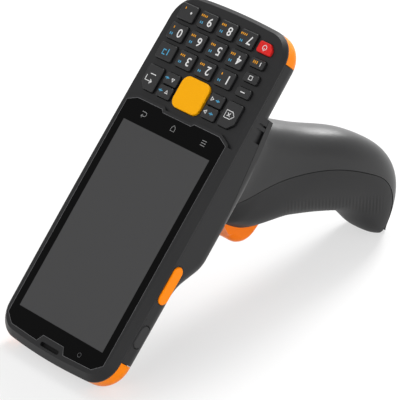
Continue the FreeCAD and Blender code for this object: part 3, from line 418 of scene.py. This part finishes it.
def print_lines(name, paths, width, top, finish, body, thick=PRINT_THICKNESS):
    """Printed strokes: every path is a run of points, closed where its last point is its first."""
    curve = bpy.data.curves.new(name, "CURVE")
    curve.dimensions = "3D"
    curve.bevel_depth = width / 2 * MM
    curve.bevel_resolution = 1
    curve.use_fill_caps = True
    for path in paths:
        closed = path[0] == path[-1]
        points = path[:-1] if closed else path
        line = curve.splines.new("POLY")
        line.points.add(len(points) - 1)
        for index, (x, y) in enumerate(points):
            line.points[index].co = (x * MM, y * MM, 0.0, 1.0)
        line.use_cyclic_u = closed
    thing = bpy.data.objects.new(name, curve)
    bpy.context.scene.collection.objects.link(thing)
    only(thing)
    bpy.ops.object.convert(target="MESH")
    thing = bpy.context.view_layer.objects.active
    thing.data.transform(Matrix.Diagonal((1.0, 1.0, thick / width, 1.0)))
    thing.data.transform(Matrix.Translation((0.0, 0.0, top * MM)))
    thing.data.materials.clear()
    thing.data.materials.append(finish)
    stand_up(thing, body)


def print_digit(name, digit, x, y, tall, body):
    """A digit, which reads from the tail end, so it stands upside down in the terminal's frame."""
    bpy.ops.object.select_all(action="DESELECT")
    bpy.ops.object.text_add()
    thing = bpy.context.view_layer.objects.active
    thing.name = name
    thing.data.body = digit
    thing.data.size = tall / CAPITAL_SHARE * MM
    thing.data.align_x = "CENTER"
    thing.data.align_y = "CENTER"
    thing.data.extrude = DIGIT_THICKNESS * MM
    thing.data.offset = DIGIT_BOLDNESS * MM
    thing.data.resolution_u = 4
    only(thing)
    bpy.ops.object.convert(target="MESH")
    thing = bpy.context.view_layer.objects.active
    thing.data.transform(Matrix.Rotation(math.pi, 4, "Z"))
    thing.data.transform(Matrix.Translation((x * MM, y * MM, (KEY_TOP + 0.008) * MM)))
    thing.data.materials.clear()
    thing.data.materials.append(WHITE_PRINT)
    stand_up(thing, body)


def mark_key(key, name, paths, width, finish):
    print_lines(name, paths, width, KEY_TOP, finish, body_of(key))


def mark_glass(name, paths, width, finish, thick=PRINT_THICKNESS):
    print_lines(name, paths, width, GLASS_TOP, finish, "terminal", thick)


def ticks(x, y, count, tall):
    """A row of short upright ticks, the plain stand-in for the small second legends."""
    step = 0.95
    first = x - step * (count - 1) / 2
    return [[(first + step * index, y - tall / 2), (first + step * index, y + tall / 2)]
            for index in range(count)]


def ring(x, y, radius, start, end, steps=14):
    return [(x + radius * math.cos(math.radians(start + (end - start) * index / steps)),
             y + radius * math.sin(math.radians(start + (end - start) * index / steps)))
            for index in range(steps + 1)]


def triangle(x, y, size, turn):
    return [(x + size * math.cos(math.radians(turn + 120 * index)),
             y + size * math.sin(math.radians(turn + 120 * index))) for index in (0, 1, 2, 0)]


DIGIT_HEIGHT = 3.7
SMALL_MARK = 0.5
AMBER_COUNTS = {"0": 1, "1": 1, "2": 3, "3": 3, "4": 3, "5": 3, "6": 3, "7": 4, "8": 3, "9": 4}
for digit, count in AMBER_COUNTS.items():
    key = "key_" + digit
    x, y = KEY_PLACES[key]
    print_digit("digit_" + digit, digit, x + 2.0, y + 0.1, DIGIT_HEIGHT, body_of(key))
    mark_key(key, "amber_marks_" + digit, ticks(x - 2.4, y + 1.55, count, 0.9), SMALL_MARK, AMBER_PRINT)
    mark_key(key, "blue_marks_" + digit, ticks(x - 2.3, y - 1.35, 2, 1.0), SMALL_MARK, BLUE_PRINT)

x, y = KEY_PLACES["key_dot"]
mark_key("key_dot", "dot_mark", [ring(x + 2.2, y + 0.2, 0.28, 0, 360, 8)], SMALL_MARK, WHITE_PRINT)
mark_key("key_dot", "amber_marks_dot", ticks(x - 1.8, y + 1.5, 1, 0.9), 0.42, AMBER_PRINT)
x, y = KEY_PLACES["key_fn"]
mark_key("key_fn", "function_mark",
         [[(x + 1.4, y - 1.4), (x + 1.4, y + 1.4)],
          [(x + 0.2, y - 1.4), (x - 1.4, y - 1.4), (x - 1.4, y + 0.6), (x + 0.2, y + 0.6)]],
         SMALL_MARK, BLUE_PRINT)
x, y = KEY_PLACES["key_power"]
mark_key("key_power", "power_mark", [ring(x, y, 1.05, -60, 240), [(x, y - 0.2), (x, y - 1.5)]],
         0.32, WHITE_PRINT)
x, y = KEY_PLACES["key_case"]
mark_key("key_case", "case_amber_mark", ticks(x - 1.0, y + 0.2, 3, 1.2), 0.45, AMBER_PRINT)
mark_key("key_case", "case_mark", [[(x + 2.0, y - 0.8), (x + 2.0, y + 0.9)]], 0.45, WHITE_PRINT)
x, y = KEY_PLACES["key_program_two"]
mark_key("key_program_two", "key_program_two_mark",
         [[(x - 0.9, y - 0.8), (x - 0.9, y + 0.8), (x + 0.9, y + 0.8), (x + 0.9, y - 0.8),
           (x - 0.9, y - 0.8)]],
         0.4, WHITE_PRINT)
x, y = KEY_PLACES["key_program_one"]
mark_key("key_program_one", "key_program_one_mark", [[(x - 1.2, y), (x + 1.2, y)]], 0.4, WHITE_PRINT)
x, y = KEY_PLACES["key_enter"]
mark_key("key_enter", "enter_mark",
         [[(x - 2.6, y + 0.6), (x - 2.6, y - 1.6), (x + 1.2, y - 1.6)],
          [(x + 0.2, y - 2.5), (x + 1.4, y - 1.6), (x + 0.2, y - 0.7)],
          [(x - 1.2, y + 1.6), (x + 1.9, y + 1.6)]],
         0.4, WHITE_PRINT)
x, y = KEY_PLACES["key_delete"]
mark_key("key_delete", "delete_mark",
         [[(x - 2.4, y - 1.6), (x + 1.0, y - 1.6), (x + 2.6, y), (x + 1.0, y + 1.6), (x - 2.4, y + 1.6),
           (x - 2.4, y - 1.6)],
          [(x - 1.2, y - 0.7), (x + 0.4, y + 0.7)],
          [(x - 1.2, y + 0.7), (x + 0.4, y - 0.7)]],
         0.36, WHITE_PRINT)
# Each arrow key: the arrow's shift and turn, and the shift of the blue cross beside it
ARROWS = {"key_up": (1.2, -90, -2.2), "key_down": (1.2, 90, -2.2),
          "key_left": (-2.0, 0, 1.2), "key_right": (-2.0, 180, 1.2)}
for key, (shift, turn, blue_shift) in ARROWS.items():
    x, y = KEY_PLACES[key]
    mark_key(key, key + "_mark", [triangle(x + shift, y, 0.85, turn)], 0.55, WHITE_PRINT)
    mark_key(key, key + "_blue_mark",
             [[(x + blue_shift - 1.1, y), (x + blue_shift + 1.1, y)],
              [(x + blue_shift, y - 0.6), (x + blue_shift, y + 0.6)]],
             0.4, BLUE_PRINT)

# Prints on the glass, and a painted highlight line round its rim
TOUCH_STROKE = 0.26
mark_glass("touch_back_mark",
           [[(-18.6, TOUCH_ROW + 0.9), (-16.6, TOUCH_ROW + 0.9)]
            + ring(-16.6, TOUCH_ROW, 0.9, 90, -90, 8)
            + [(-18.2, TOUCH_ROW - 0.9)],
            [(-17.6, TOUCH_ROW - 1.6), (-18.4, TOUCH_ROW - 0.9), (-17.6, TOUCH_ROW - 0.2)]],
           TOUCH_STROKE, GREY_PRINT)
mark_glass("touch_home_mark",
           [[(HOME_PLACE - 1.1, TOUCH_ROW - 1.2), (HOME_PLACE + 1.1, TOUCH_ROW - 1.2),
             (HOME_PLACE + 1.1, TOUCH_ROW + 0.2), (HOME_PLACE, TOUCH_ROW + 1.3),
             (HOME_PLACE - 1.1, TOUCH_ROW + 0.2), (HOME_PLACE - 1.1, TOUCH_ROW - 1.2)]],
           TOUCH_STROKE, GREY_PRINT)
mark_glass("touch_menu_mark",
           [[(17.4, TOUCH_ROW + step), (20.0, TOUCH_ROW + step)] for step in (-1.0, 0.0, 1.0)],
           TOUCH_STROKE, GREY_PRINT)
mark_glass("lens_ring_mark", [ring(*LENS_PLACE, 0.9, 0, 360, 16)], 0.12, RIM_HIGHLIGHT_AND_RING_GREY)
RIM_HIGHLIGHT_HALF = [(6.3, 7.95), (8.2, 4.85), (24.9, 5.65), (29.75, 9.25), (29.75, 107.8), (24.5, 110.15),
            (9.6, 110.15), (8.4, 108.95)]
rim_highlight_path = RIM_HIGHLIGHT_HALF + [(-x, y) for x, y in reversed(RIM_HIGHLIGHT_HALF)]
# painted highlight: a light grey line drawn round the glass's rim
mark_glass("glass_rim_highlight", [rim_highlight_path + [rim_highlight_path[0]]], 0.2, RIM_HIGHLIGHT_AND_RING_GREY, 0.04)

# The grip's back shell with its flare drawn out smoothly from the saddle

SADDLE_HEAD = 81.0
SADDLE_TAIL = 125.6
SADDLE_HEAD_DEPTH = 21.0
SADDLE_TAIL_DEPTH = 13.2
THROAT_DEPTH = 33.0
# The flare's first and last outline: half its width, its middle, half its length, and how square it is
FLARE_TOP = (33.6, 103.4, 21.6, 4.0)
FLARE_END = (18.25, 105.1, 20.35, 2.5)
FLARE_EASE = 2.2
FLARE_LAP = 0.6
THROAT_LAP = 0.1
TRIGGER_SLOT_PLACE = (0.0, 76.5, -48.5)
TRIGGER_SLOT_SIZE = (15.8, 54.0, 50.0)
SMOOTH_ANGLE = math.radians(32)
FLARE_STEPS = 14
FLARE_SIDES = 96


def saddle_depth(y):
    share = (y - SADDLE_HEAD) / (SADDLE_TAIL - SADDLE_HEAD)
    return -(SADDLE_HEAD_DEPTH + (SADDLE_TAIL_DEPTH - SADDLE_HEAD_DEPTH) * share)


def cad_copy(name, node):
    """A joined-up copy of a CAD node, in the terminal's own frame."""
    thing = nodes[node].copy()
    thing.data = nodes[node].data.copy()
    for label in list(thing.keys()):
        del thing[label]
    thing.name = name
    thing.parent = None
    bpy.context.scene.collection.objects.link(thing)
    thing.matrix_world = Matrix.Identity(4)
    thing.data.transform(STAND.inverted())
    only(thing)
    bpy.ops.mesh.customdata_custom_splitnormals_clear()
    bpy.ops.object.mode_set(mode="EDIT")
    bpy.ops.mesh.select_all(action="SELECT")
    bpy.ops.mesh.remove_doubles(threshold=0.000002)
    bpy.ops.object.mode_set(mode="OBJECT")
    return thing


def trim(thing, place, normal):
    """Cut a closed piece by a plane, drop what lies along the normal and close the cut."""
    only(thing)
    bpy.ops.object.mode_set(mode="EDIT")
    bpy.ops.mesh.select_all(action="SELECT")
    bpy.ops.mesh.bisect(plane_co=[value * MM for value in place], plane_no=normal,
                        use_fill=True, clear_outer=True)
    bpy.ops.object.mode_set(mode="OBJECT")


def make_flare():
    """The smooth neck between saddle and handle: a grid rolled into a tube, closed and slotted."""
    bpy.ops.object.select_all(action="DESELECT")
    bpy.ops.mesh.primitive_grid_add(x_subdivisions=FLARE_SIDES, y_subdivisions=FLARE_STEPS, size=2.0)
    flare = bpy.context.view_layer.objects.active
    flare.name = "grip_flare"
    for vertex in flare.data.vertices:
        turn = math.pi * (vertex.co.x + 1)
        share = (vertex.co.y + 1) / 2
        pull = 1 - (1 - share) ** FLARE_EASE
        half_x, middle, half_y, square = [top + (end - top) * (pull if index in (0, 3) else share)
                                          for index, (top, end) in enumerate(zip(FLARE_TOP, FLARE_END))]
        x = half_x * math.copysign(abs(math.sin(turn)) ** (2 / square), math.sin(turn))
        y = middle + half_y * math.copysign(abs(math.cos(turn)) ** (2 / square), math.cos(turn))
        top_depth = saddle_depth(y) + FLARE_LAP
        vertex.co = Vector((x, y, top_depth + (-THROAT_DEPTH - THROAT_LAP - top_depth) * share)) * MM
    only(flare)
    bpy.ops.object.mode_set(mode="EDIT")
    bpy.ops.mesh.select_all(action="SELECT")
    bpy.ops.mesh.remove_doubles(threshold=0.00001)
    bpy.ops.mesh.select_all(action="DESELECT")
    bpy.ops.mesh.select_non_manifold()
    bpy.ops.mesh.edge_face_add()
    bpy.ops.mesh.select_all(action="SELECT")
    bpy.ops.mesh.normals_make_consistent(inside=False)
    bpy.ops.object.mode_set(mode="OBJECT")
    bpy.ops.object.select_all(action="DESELECT")
    bpy.ops.mesh.primitive_cube_add(size=1.0)
    slot = bpy.context.view_layer.objects.active
    slot.data.transform(Matrix.Translation(Vector(TRIGGER_SLOT_PLACE) * MM)
                        @ Matrix.Diagonal((*(Vector(TRIGGER_SLOT_SIZE) * MM), 1.0)))
    cut = flare.modifiers.new("trigger slot", "BOOLEAN")
    cut.operation = "DIFFERENCE"
    cut.object = slot
    only(flare)
    bpy.ops.object.modifier_apply(modifier=cut.name)
    bpy.data.objects.remove(slot)
    return flare


saddle = cad_copy("grip_saddle_part", "grip_rear_shell")
lean = (SADDLE_HEAD_DEPTH - SADDLE_TAIL_DEPTH) / (SADDLE_TAIL - SADDLE_HEAD)
trim(saddle, (0.0, SADDLE_HEAD, -SADDLE_HEAD_DEPTH), (0.0, lean, -1.0))
handle = cad_copy("grip_back_shell", "grip_rear_shell")
trim(handle, (0.0, 0.0, -THROAT_DEPTH), (0.0, 0.0, 1.0))
flare = make_flare()
for part in (saddle, flare):
    part.data.materials.clear()
    part.data.materials.append(FINISHES["grip_plastic"])
only(handle)
saddle.select_set(True)
flare.select_set(True)
bpy.ops.object.join()
bpy.ops.object.shade_smooth_by_angle(angle=SMOOTH_ANGLE)
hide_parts("grip_rear_shell")
stand_up(handle, "terminal")

# The finger shell, with the cheeks that stand out beside the trigger

# Points (depth, y) of the seam between the grip's shells
SEAM_LINE = ((-26.0, 66.0), (-40.6, 91.2), (-49.0, 103.3), (-65.8, 116.8), (-86.2, 127.3))
CHEEK_PUSH = 5.0
CHEEK_FADE = 13.0
CHEEK_START = (-34.0, -43.0)
CHEEK_END = (-55.0, -80.0)


def along_line(line, depth):
    """The height on a run of (depth, y) points, which go down from its first."""
    for (first_depth, first), (next_depth, following) in zip(line, line[1:]):
        if depth >= next_depth:
            return first + (following - first) * (first_depth - depth) / (first_depth - next_depth)
    return line[-1][1]


def smooth_step(low, high, value):
    """Goes smoothly from 0 at low to 1 at high."""
    share = min(1.0, max(0.0, (value - low) / (high - low)))
    return share * share * (3 - 2 * share)


fingers = cad_copy("grip_finger_shell", "grip_front_shell")
for vertex in fingers.data.vertices:
    x, y, z = vertex.co / MM
    deep = smooth_step(*CHEEK_START, z) * (1 - smooth_step(*CHEEK_END, z))
    fore = smooth_step(0.0, CHEEK_FADE, along_line(SEAM_LINE, z) - y)
    vertex.co.y -= CHEEK_PUSH * deep * fore * MM
only(fingers)
bpy.ops.object.shade_smooth_by_angle(angle=SMOOTH_ANGLE)
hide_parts("grip_front_shell")
stand_up(fingers, "terminal")

# Floor and lights

FLOOR_SIZE = 12.0
FLOOR_GLOW = 0.62
SKY_LIGHT = 0.55
SKY_SEEN = 1.0


def seen_rays(tree):
    """One for the rays that see a backdrop directly, in a mirror or through glass."""
    path = tree.nodes.new("ShaderNodeLightPath")
    seen = maths(tree, "MAXIMUM", path.outputs["Is Camera Ray"], path.outputs["Is Glossy Ray"])
    return maths(tree, "MAXIMUM", seen, path.outputs["Is Transmission Ray"])


bpy.ops.object.select_all(action="DESELECT")
bpy.ops.mesh.primitive_plane_add(size=FLOOR_SIZE, location=(0.0, 0.0, 0.0))
floor = bpy.context.view_layer.objects.active
floor.name = "studio_floor"
floor_finish = bpy.data.materials.new("studio_floor")
floor_finish.use_nodes = True
tree = floor_finish.node_tree
tree.nodes["Principled BSDF"].inputs["Base Color"].default_value = (0.82, 0.82, 0.82, 1.0)
tree.nodes["Principled BSDF"].inputs["Roughness"].default_value = 0.9
glow = tree.nodes.new("ShaderNodeEmission")
share = maths(tree, "MULTIPLY", seen_rays(tree), FLOOR_GLOW)
blend = tree.nodes.new("ShaderNodeMixShader")
tree.links.new(share, blend.inputs[0])
tree.links.new(tree.nodes["Principled BSDF"].outputs[0], blend.inputs[1])
tree.links.new(glow.outputs[0], blend.inputs[2])
tree.links.new(blend.outputs[0], tree.nodes["Material Output"].inputs["Surface"])
floor.data.materials.append(floor_finish)

world = bpy.data.worlds.new("studio")
bpy.context.scene.world = world
world.use_nodes = True
sky = world.node_tree
soft = sky.nodes["Background"]
soft.inputs["Color"].default_value = (1.0, 1.0, 1.0, 1.0)
soft.inputs["Strength"].default_value = SKY_LIGHT
white = sky.nodes.new("ShaderNodeBackground")
white.inputs["Strength"].default_value = SKY_SEEN
blend = sky.nodes.new("ShaderNodeMixShader")
sky.links.new(seen_rays(sky), blend.inputs[0])
sky.links.new(soft.outputs[0], blend.inputs[1])
sky.links.new(white.outputs[0], blend.inputs[2])
sky.links.new(blend.outputs[0], sky.nodes["World Output"].inputs["Surface"])


def softbox(name, place, aim, size, power):
    """A square lamp at a place in metres, turned towards its aim, with its power in watts."""
    lamp = bpy.data.lights.new(name, "AREA")
    lamp.shape = "SQUARE"
    lamp.size = size
    lamp.energy = power
    thing = bpy.data.objects.new(name, lamp)
    bpy.context.scene.collection.objects.link(thing)
    thing.location = place
    thing.rotation_euler = (Vector(aim) - Vector(place)).to_track_quat("-Z", "Y").to_euler()


softbox("overhead_softbox", (-0.25, 0.35, 1.1), (0.0, 0.03, 0.08), 0.55, 4.0)
softbox("behind_softbox", (-0.58, 1.32, 0.9), (0.0, 0.05, 0.08), 0.5, 32.0)
softbox("right_softbox", (1.25, 0.95, 0.35), (0.0, 0.06, 0.08), 0.3, 1.5)
softbox("front_softbox", (0.35, -1.35, 0.9), (0.0, -0.02, 0.06), 0.7, 5.0)
softbox("low_softbox", (0.8, -0.3, 0.06), (0.0, -0.02, 0.02), 0.25, 1.8)

# The camera as fitted to the photograph, in the terminal's own frame
EYE = Vector((809.1, 39.3, 875.1)) * MM
VIEW_RIGHT = Vector((0.66582, 0.48571, -0.56636))
VIEW_DOWN = Vector((0.34096, -0.87326, -0.34807))
VIEW_AHEAD = Vector((-0.66364, 0.03865, -0.74705))
FOCAL_PIXELS = 2990.7
PHOTO_PIXELS = 400.0
SENSOR_WIDTH = 36.0
camera_data = bpy.data.cameras.new("photo_camera")
camera_data.sensor_width = SENSOR_WIDTH
camera_data.lens = FOCAL_PIXELS * SENSOR_WIDTH / PHOTO_PIXELS
camera_data.clip_end = 20.0
camera = bpy.data.objects.new("photo_camera", camera_data)
bpy.context.scene.collection.objects.link(camera)
turn = Matrix((VIEW_RIGHT, -VIEW_DOWN, -VIEW_AHEAD)).transposed().to_4x4()
camera.matrix_world = STAND @ Matrix.Translation(EYE) @ turn
bpy.context.scene.camera = camera
bpy.context.scene.view_settings.view_transform = "Standard"
